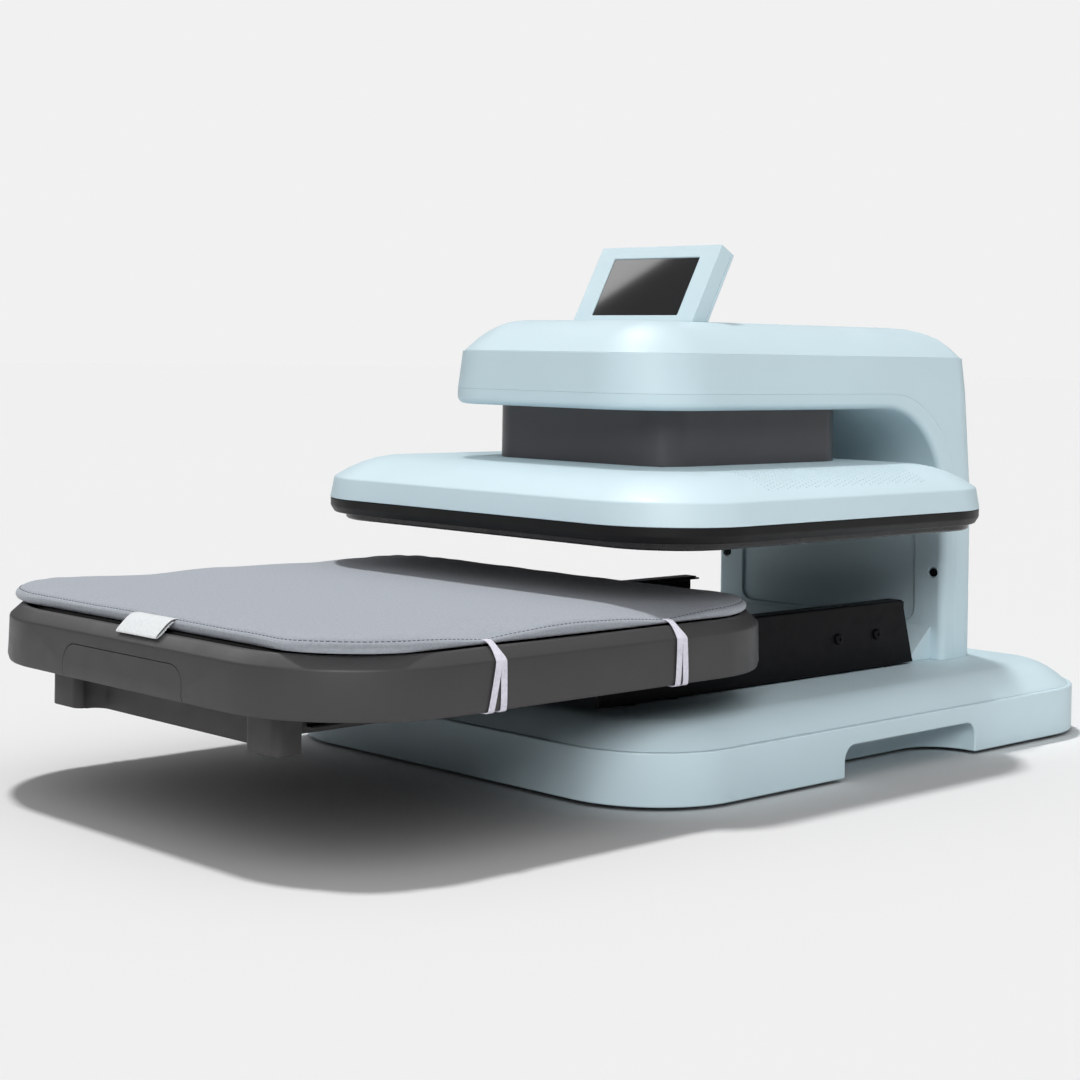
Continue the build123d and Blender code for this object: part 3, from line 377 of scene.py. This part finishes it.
def cylinder(mesh, centre, radius, low, high, sides=10):
    """Adds an upright closed cylinder to a bmesh."""
    rings = []
    for z in (low, high):
        angles = [2 * math.pi * i / sides for i in range(sides)]
        rings.append([mesh.verts.new((centre[0] + radius * math.cos(a), centre[1] + radius * math.sin(a), z))
                      for a in angles])
    for i in range(sides):
        j = (i + 1) % sides
        mesh.faces.new((rings[0][i], rings[0][j], rings[1][j], rings[1][i]))
    mesh.faces.new(rings[1])
    mesh.faces.new(rings[0][::-1])


def cut_vents(cover):
    """Rows of small holes, every other row half a step over, down the cover's right-hand slope."""
    low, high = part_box("press_cover")
    cutters = bmesh.new()
    for row in range(VENT_ROWS):
        y = low[1] + VENT_FRONT + row * VENT_PITCH_Y
        for column in range(VENT_COLUMNS):
            x = high[0] - VENT_EDGE - (column + 0.5 * (row % 2)) * VENT_PITCH_X
            cylinder(cutters, (x, y), VENT_RADIUS, low[2] + 8 * MM, high[2] + 5 * MM)
    mesh = bpy.data.meshes.new("vent_cutters")
    cutters.to_mesh(mesh)
    cutters.free()
    tool = bpy.data.objects.new("vent_cutters", mesh)
    bpy.context.scene.collection.objects.link(tool)
    cut = cover.modifiers.new("vents", "BOOLEAN")
    cut.object = tool
    cut.operation = "DIFFERENCE"
    cut.solver = "MANIFOLD"
    settle(cover)
    bpy.data.objects.remove(tool)


cut_vents(finished["press_cover"])

# ---------------------------------------------------------------- fabric pad
PAD_LOW, PAD_HIGH = [Vector(corner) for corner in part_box("fabric_pad")]
PAD_HALF_X = PAD_HIGH.x
PAD_HALF_Y = (PAD_HIGH.y - PAD_LOW.y) / 2
PAD_MIDDLE_Y = (PAD_HIGH.y + PAD_LOW.y) / 2
PAD_CORNER = 58 * MM
CORNER_STEPS, SIDE_STEPS = 14, 34
STRAP_YS = (-414.8 * MM, -252.8 * MM)

# (inset, height over the pad's underside), from the middle of the underside out and up to the top
PAD_UNDER = [(inset, 0.2) for inset in (180, 150, 115, 80, 50, 30, 16)]
PAD_ROLL = [(8, 0.1), (4, 0.25), (1.7, 0.9), (0.5, 2.1), (0.1, 3.5), (0.4, 5.0), (1.3, 6.3), (2.3, 7.1)]
PAD_SEAM = (3.1, 7.2)
PAD_ROUND = [(2.9, 7.9), (3.4, 8.8), (4.6, 9.6), (6.8, 10.1)]
PAD_TOP = [(inset, 10.2) for inset in (10, 15, 22, 31, 42, 55, 70, 88, 108, 130, 154, 180)]
PAD_LEVELS = PAD_UNDER + PAD_ROLL + [PAD_SEAM] + PAD_ROUND + PAD_TOP
SEAM_RING = len(PAD_UNDER) + len(PAD_ROLL)
PINCH_IN, PINCH_DOWN, PINCH_REACH, PINCH_INSET = 2.2 * MM, 6.2 * MM, 34 * MM, 34 * MM
LEFT_SHARE = 0.4            # the left-hand straps pull less than the right-hand ones
CORNER_LIFT = 0.9 * MM
PUFF_LIMIT = 0.9 * MM


def rounded_ring(half_x, half_y, radius):
    """Points once round a rounded rectangle, the same number for every size."""
    points = []
    signs = ((1, 1), (-1, 1), (-1, -1), (1, -1))
    for corner, (sx, sy) in enumerate(signs):
        centre = Vector((sx * (half_x - radius), sy * (half_y - radius)))
        for i in range(CORNER_STEPS + 1):
            angle = math.pi / 2 * (corner + i / CORNER_STEPS)
            points.append(centre + radius * Vector((math.cos(angle), math.sin(angle))))
        nx, ny = signs[(corner + 1) % 4]
        turn = math.pi / 2 * (corner + 1)
        ahead = Vector((nx * (half_x - radius), ny * (half_y - radius)))
        ahead += radius * Vector((math.cos(turn), math.sin(turn)))
        for i in range(1, SIDE_STEPS):
            points.append(points[-i].lerp(ahead, i / SIDE_STEPS))
    return points


def strap_pull(x, y):
    """How strongly the nearest strap pulls on the pad's edge, from 0 to 1."""
    near = max(math.exp(-abs((y - strap) / PINCH_REACH) ** 1.5) for strap in STRAP_YS)
    edge = 1 - (PAD_HALF_X - 4 * MM - abs(x)) / PINCH_INSET
    return near * min(1, max(0, edge)) ** 2 * (LEFT_SHARE if x < 0 else 1)


def corner_curl(x, y):
    """How strongly the pad's rounded corners curl up, from 0 to 1."""
    past_x = max(0, abs(x) - (PAD_HALF_X - PAD_CORNER))
    past_y = max(0, abs(y - PAD_MIDDLE_Y) - (PAD_HALF_Y - PAD_CORNER))
    return min(1, 2 * past_x * past_y / PAD_CORNER ** 2)


def pad_point(flat, height):
    """A point of the pad's skin with the waves of hand-sewn fabric and the straps' pull."""
    x, y = flat.x, flat.y + PAD_MIDDLE_Y
    lift = height / PAD_ROUND[-1][1]
    wave = noise.noise(Vector((x * 14, y * 14, 3.1))) + 0.5 * noise.noise(Vector((x * 42, y * 42, 9.7)))
    edge = max(0, 1 - min(PAD_HALF_X - abs(x), PAD_HALF_Y - abs(flat.y)) / (60 * MM))
    z = PAD_LOW.z + height * MM + 0.9 * MM * wave * edge * lift
    pull = strap_pull(x, y)
    z += CORNER_LIFT * corner_curl(x, y) - PINCH_DOWN * pull * lift
    x -= math.copysign(PINCH_IN * pull, x)
    x += 0.4 * MM * edge * noise.noise(Vector((x * 25, y * 25, 5.5)))
    return Vector((x, y, z))


def pad_mesh():
    rings = []
    for inset, height in PAD_LEVELS:
        radius = max(PAD_CORNER - inset * MM, 12 * MM * (1 - inset / 400))
        ring = rounded_ring(PAD_HALF_X - inset * MM, PAD_HALF_Y - inset * MM, radius)
        rings.append([pad_point(flat, height) for flat in ring])
    count = len(rings[0])
    points = [point for ring in rings for point in ring]
    faces = []
    for level in range(len(rings) - 1):
        for i in range(count):
            j = (i + 1) % count
            low, high = level * count, (level + 1) * count
            faces.append((low + i, low + j, high + j, high + i))
    mesh = bpy.data.meshes.new("pad_skin")
    middle_low = Vector((0, PAD_MIDDLE_Y, PAD_LOW.z + 0.2 * MM))
    middle_high = Vector((0, PAD_MIDDLE_Y, rings[-1][0].z))
    points += [middle_low, middle_high]
    last = (len(rings) - 1) * count
    for i in range(count):
        j = (i + 1) % count
        faces.append((len(points) - 2, j, i))
        faces.append((len(points) - 1, last + i, last + j))
    mesh.from_pydata(points, [], faces)
    return mesh, rings[SEAM_RING], count


def inflate(obj, pinned, pressure, limit, frames=20):
    """Swells a closed skin by cloth simulation and keeps each point within limit of where it began."""
    before = [vertex.co.copy() for vertex in obj.data.vertices]
    group = obj.vertex_groups.new(name="pins")
    group.add(pinned, 1.0, "REPLACE")
    cloth = obj.modifiers.new("cloth", "CLOTH")
    cloth.settings.quality = 6
    cloth.settings.mass = 0.25
    cloth.settings.tension_stiffness = 25
    cloth.settings.compression_stiffness = 25
    cloth.settings.bending_stiffness = 2.0
    cloth.settings.use_pressure = True
    cloth.settings.uniform_pressure_force = pressure
    cloth.settings.vertex_group_mass = "pins"
    cloth.settings.effector_weights.gravity = 0
    cloth.point_cache.frame_end = frames
    for frame_number in range(1, frames + 1):
        bpy.context.scene.frame_set(frame_number)
    settle(obj)
    for vertex, start in zip(obj.data.vertices, before):
        move = vertex.co - start
        if move.length > limit:
            vertex.co = start + move * (limit / move.length)
    bpy.context.scene.frame_set(1)


def subdivide(obj, levels=1):
    modifier = obj.modifiers.new("finer", "SUBSURF")
    modifier.levels = levels
    modifier.render_levels = levels
    return settle(obj)


def make_pad():
    mesh, seam, count = pad_mesh()
    pad = add_piece("pad_finished", mesh, "drawer", "pad_fabric", ["fabric_pad"])
    held_rings = list(range(len(PAD_UNDER) + 2)) + [SEAM_RING]
    pinned = [ring * count + i for ring in held_rings for i in range(count)]
    inflate(pad, pinned + [len(mesh.vertices) - 2], 4.0, PUFF_LIMIT)
    smooth(pad.data, 180)
    subdivide(pad)
    smooth(pad.data, 180)
    return seam


def along(points, closed=True):
    """A function from distance to (point, direction) on a line of points, and the line's length."""
    ends = points + [points[0]] if closed else points
    starts = [0.0]
    for a, b in zip(ends, ends[1:]):
        starts.append(starts[-1] + (b - a).length)

    def at(distance):
        for i in range(len(ends) - 1):
            if distance <= starts[i + 1] or i == len(ends) - 2:
                share = (distance - starts[i]) / max(starts[i + 1] - starts[i], 1e-9)
                return ends[i].lerp(ends[i + 1], share), (ends[i + 1] - ends[i]).normalized()

    return at, starts[-1]


def add_thread(mesh, centre, direction, length, radius, sides=6):
    """Adds one stitch: a short rod with tapered ends."""
    across = direction.cross(Vector((0, 0, 1))).normalized()
    up = across.cross(direction)
    rings = []
    for place, thick in ((-0.5, 0.35), (-0.36, 0.95), (0.36, 0.95), (0.5, 0.35)):
        middle = centre + direction * (place * length)
        angles = [2 * math.pi * i / sides for i in range(sides)]
        rings.append([mesh.verts.new(middle + radius * thick * (across * math.cos(a) + up * math.sin(a)))
                      for a in angles])
    for low, high in zip(rings, rings[1:]):
        for i in range(sides):
            j = (i + 1) % sides
            mesh.faces.new((low[i], low[j], high[j], high[i]))
    mesh.faces.new(rings[0][::-1])
    mesh.faces.new(rings[-1])


STITCH_PITCH, STITCH_LONG, THREAD_RADIUS = 3.6 * MM, 2.5 * MM, 0.33 * MM


def stitch(name, points, body, slot, material):
    """A row of stitches round a closed line of points."""
    at, length = along(points)
    work = bmesh.new()
    for i in range(int(length / STITCH_PITCH)):
        centre, direction = at((i + 0.5) * STITCH_PITCH)
        add_thread(work, centre, direction, STITCH_LONG, THREAD_RADIUS)
    bmesh.ops.recalc_face_normals(work, faces=work.faces)
    mesh = bpy.data.meshes.new(name)
    work.to_mesh(mesh)
    work.free()
    obj = add_piece(name, mesh, body, slot)
    obj.data.materials.clear()
    obj.data.materials.append(material)
    smooth(obj.data, 180)
    return obj


seam_line = make_pad()
thread = moulded("grey_thread", (0.10, 0.11, 0.14), 0.7, grain=2500, depth=0.00005)
lifted = [point + Vector((math.copysign(0.15 * MM, point.x), 0, 0.25 * MM)) for point in seam_line]
stitch("pad_seam_stitches", lifted, "drawer", "pad_fabric", thread)


# ---------------------------------------------------------------- straps and tag
def ease(points, passes=3):
    """Rounds a line's corners by cutting them, and keeps its two ends."""
    for _ in range(passes):
        eased = [points[0]]
        for a, b in zip(points, points[1:]):
            eased += [a.lerp(b, 0.25), a.lerp(b, 0.75)]
        points = eased + [points[-1]]
    return points


def tape(name, line, across, width, thickness, body, slot, replaced=()):
    """A flat woven tape with soft edges along a line of points; across is its width's direction."""
    upper = [(-0.5, 0), (-0.46, 0.5), (0, 0.56), (0.46, 0.5)]
    lower = [(0.5, 0), (0.46, -0.5), (0, -0.44), (-0.46, -0.5)]
    section = upper + lower
    work = bmesh.new()
    rings = []
    for i, point in enumerate(line):
        ahead = line[min(i + 1, len(line) - 1)] - line[max(i - 1, 0)]
        out = across.cross(ahead).normalized()
        corners = [point + across * (u * width) + out * (v * thickness) for u, v in section]
        rings.append([work.verts.new(corner) for corner in corners])
    for low, high in zip(rings, rings[1:]):
        for i in range(len(section)):
            j = (i + 1) % len(section)
            work.faces.new((low[i], low[j], high[j], high[i]))
    work.faces.new(rings[0][::-1])
    work.faces.new(rings[-1])
    bmesh.ops.recalc_face_normals(work, faces=work.faces)
    mesh = bpy.data.meshes.new(name)
    work.to_mesh(mesh)
    work.free()
    obj = add_piece(name, mesh, body, slot, replaced)
    smooth(obj.data, 50)
    return obj


TRAY_LOW, TRAY_HIGH = [Vector(corner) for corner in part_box("tray")]
CREASE_DROP, BEVEL_IN = 7.5 * MM, 9 * MM     # the tray rim's bevel, down and in
TAPE_WIDE, TAPE_THICK = 5.0 * MM, 0.75 * MM


def strap_line(side, strap_y, offsets, lift):
    """One strand from the pad's seam over the tray's bevel, down its wall and under it."""
    wall = TRAY_HIGH.x
    pull = strap_pull(side * PAD_HALF_X, strap_y)
    seam_drop = PINCH_DOWN * pull * PAD_SEAM[1] / PAD_ROUND[-1][1]
    seam_x = PAD_HALF_X - PINCH_IN * pull - 3 * MM
    seam_z = PAD_LOW.z + (PAD_SEAM[1] + 0.3) * MM - seam_drop
    stations = [
        (seam_x, seam_z, 0),
        (PAD_HALF_X - PINCH_IN * pull + 1.6 * MM, seam_z - 0.4 * MM, 0),
        (wall - BEVEL_IN + 2.6 * MM, TRAY_HIGH.z - 0.6 * MM, 0),
        (wall - 0.2 * MM, TRAY_HIGH.z - CREASE_DROP + 0.9 * MM, 1),
        (wall + 0.5 * MM, TRAY_HIGH.z - CREASE_DROP - 1.5 * MM, 1),
        (wall + 0.8 * MM, TRAY_LOW.z + 1.5 * MM, 2),
        (wall - 0.9 * MM, TRAY_LOW.z - 0.9 * MM, 2),
        (wall - 8 * MM, TRAY_LOW.z - 0.7 * MM, 2),
    ]
    points = [Vector((side * (x + lift), strap_y + offsets[k], z)) for x, z, k in stations]
    return ease(points)


# (seam, crease, foot) offsets along Y of the two strands of each strap
STRANDS = {
    STRAP_YS[0]: ((0.3 * MM, 2.0 * MM, 2.2 * MM), (-0.3 * MM, -2.2 * MM, -8.2 * MM)),
    STRAP_YS[1]: ((0.3 * MM, 2.4 * MM, 3.6 * MM), (-0.3 * MM, -2.8 * MM, -4.2 * MM)),
}
STRAND_LIFT = 0.45 * MM     # the second strand lies on the first
straps_made = 0
for side in (1, -1):
    for strap_y, strands in STRANDS.items():
        for layer, offsets in enumerate(strands):
            straps_made += 1
            line = strap_line(side, strap_y, offsets, STRAND_LIFT * layer)
            tape(f"strap_strand_{straps_made}", line, Vector((0, side, 0)), TAPE_WIDE, TAPE_THICK, "drawer",
                 "strap_elastic", ["pad_straps"])

TAG_LOW, TAG_HIGH = [Vector(corner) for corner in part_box("pad_tag")]
TAG_MIDDLE = (TAG_LOW.x + TAG_HIGH.x) / 2
TAG_WIDE, TAG_THICK = TAG_HIGH.x - TAG_LOW.x, 0.35 * MM
SEAM_FRONT = PAD_LOW.y + 3 * MM
SEAM_UP = PAD_LOW.z + 7.3 * MM


def tag_line():
    """The folded tag's section, out of the seam, down to its fold and back underneath."""
    steps = [(1, 0.6), (-3.2, 0.9), (-7, -1.2), (-11.5, -5.2), (-15.3, -8.9), (-15.9, -10.4), (-14.6, -10.6),
             (-10.4, -7.6), (-6.2, -3.6), (-3, -1.2), (1, -0.3)]
    return ease([Vector((TAG_MIDDLE, SEAM_FRONT + y * MM, SEAM_UP + z * MM)) for y, z in steps], 2)


tag_path = tag_line()
tag = tape("tag_finished", tag_path, Vector((1, 0, 0)), TAG_WIDE, TAG_THICK, "drawer", "tag_cloth",
           ["pad_tag"])
along(tag_path, closed=False)[1]

# ---------------------------------------------------------------- floor, light and camera
CAMERA_AT = (1.1357, -1.2793, 0.3032)
CAMERA_TURN = (90.0, -0.93, 46.06)
LENS = 70.0
SHIFT_DOWN = -0.173
FLOOR_SIZE = 60.0
BACKGROUND = 0.88
SKY_LEVEL, SKY_TOP = 0.04, 0.56      # soft light from the horizon and from straight overhead
SUN_PATH = (0.33, -0.15, -1.0)
SUN_POWER = 1.71
FILL_PATH = (-0.60, 0.60, -0.53)
FILL_POWER = 1.95
FILL_SOFTNESS = 30


def plane(name, size, centre):
    mesh = bpy.data.meshes.new(name)
    half = size / 2
    corners = [(-half, -half, 0), (half, -half, 0), (half, half, 0), (-half, half, 0)]
    mesh.from_pydata([Vector(corner) + Vector(centre) for corner in corners], [], [(0, 1, 2, 3)])
    obj = bpy.data.objects.new(name, mesh)
    bpy.context.scene.collection.objects.link(obj)
    return obj


floor = plane("floor", FLOOR_SIZE, (0, 0, -0.0002))
floor_paint = plain("floor_paint", (0.97, 0.97, 0.97), 0.8, Specular_IOR_Level=0.0)
vary_roughness(floor_paint, object_noise(floor_paint, 3, 3), 0.75, 0.85)
floor.data.materials.append(floor_paint)


def studio_world():
    """An even pale studio, dimmer for soft light than it looks."""
    world = bpy.data.worlds.new("studio")
    bpy.context.scene.world = world
    world.use_nodes = True
    tree = world.node_tree
    background = tree.nodes["Background"]
    background.inputs["Color"].default_value = (1, 1, 1, 1)
    coords = tree.nodes.new("ShaderNodeTexCoord")
    direction = tree.nodes.new("ShaderNodeSeparateXYZ")
    tree.links.new(coords.outputs["Generated"], direction.inputs["Vector"])
    sky = tree.nodes.new("ShaderNodeMapRange")
    sky.inputs["To Min"].default_value = SKY_LEVEL
    sky.inputs["To Max"].default_value = SKY_TOP
    tree.links.new(direction.outputs["Z"], sky.inputs["Value"])
    path = tree.nodes.new("ShaderNodeLightPath")
    choose = tree.nodes.new("ShaderNodeMapRange")
    choose.inputs["To Max"].default_value = BACKGROUND
    tree.links.new(path.outputs["Is Camera Ray"], choose.inputs["Value"])
    tree.links.new(sky.outputs["Result"], choose.inputs["To Min"])
    tree.links.new(choose.outputs["Result"], background.inputs["Strength"])


studio_world()


def lamp(name, kind, energy, place, towards, **settings):
    data = bpy.data.lights.new(name, kind)
    data.energy = energy
    for key, value in settings.items():
        setattr(data, key, value)
    obj = bpy.data.objects.new(name, data)
    bpy.context.scene.collection.objects.link(obj)
    obj.location = place
    obj.rotation_euler = (Vector(towards) - Vector(place)).to_track_quat("-Z", "Y").to_euler()
    return obj


sun_place = -Vector(SUN_PATH) * 3
lamp("key_light", "SUN", SUN_POWER, sun_place, (0, 0, 0), angle=math.radians(5))
fill_place = -Vector(FILL_PATH) * 3
fill = lamp("fill", "SUN", FILL_POWER, fill_place, (0, 0, 0), angle=math.radians(FILL_SOFTNESS))

# A soft panel that the display's glass mirrors over its upper left half, and that lights nothing else
PANEL_TOWARDS = Vector((-0.69, -0.35, 0.63)).normalized()
PANEL_AWAY, PANEL_ASIDE, PANEL_DROP = 2.5, 0.36, 0.05
PANEL_SIZE, PANEL_POWER = 0.7, 7.5
panel_level = PANEL_TOWARDS.cross(Vector((0, 0, 1))).normalized()
panel_rise = panel_level.cross(PANEL_TOWARDS)
glass_middle = sum((Vector(corner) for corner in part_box("screen_glass")), Vector()) / 2
panel_place = glass_middle + PANEL_TOWARDS * PANEL_AWAY + panel_level * PANEL_ASIDE - panel_rise * PANEL_DROP
panel = lamp("screen_panel", "AREA", PANEL_POWER, panel_place, glass_middle, size=PANEL_SIZE)
panel.visible_diffuse = False

camera_data = bpy.data.cameras.new("camera")
camera_data.lens = LENS
camera_data.shift_y = SHIFT_DOWN
camera_data.clip_end = 200
camera = bpy.data.objects.new("camera", camera_data)
camera.location = CAMERA_AT
camera.rotation_euler = [math.radians(turn) for turn in CAMERA_TURN]
bpy.context.scene.collection.objects.link(camera)
bpy.context.scene.camera = camera
bpy.context.scene.view_settings.view_transform = "Standard"

# The fill leaves out the floor and the pad, so that the key light's shadows stay deep there
unfilled = (floor, bpy.data.objects["pad_finished"])
filled = bpy.data.collections.new("filled")
for obj in bpy.context.scene.objects:
    if obj.type == "MESH" and obj not in unfilled:
        filled.objects.link(obj)
fill.light_linking.receiver_collection = filled
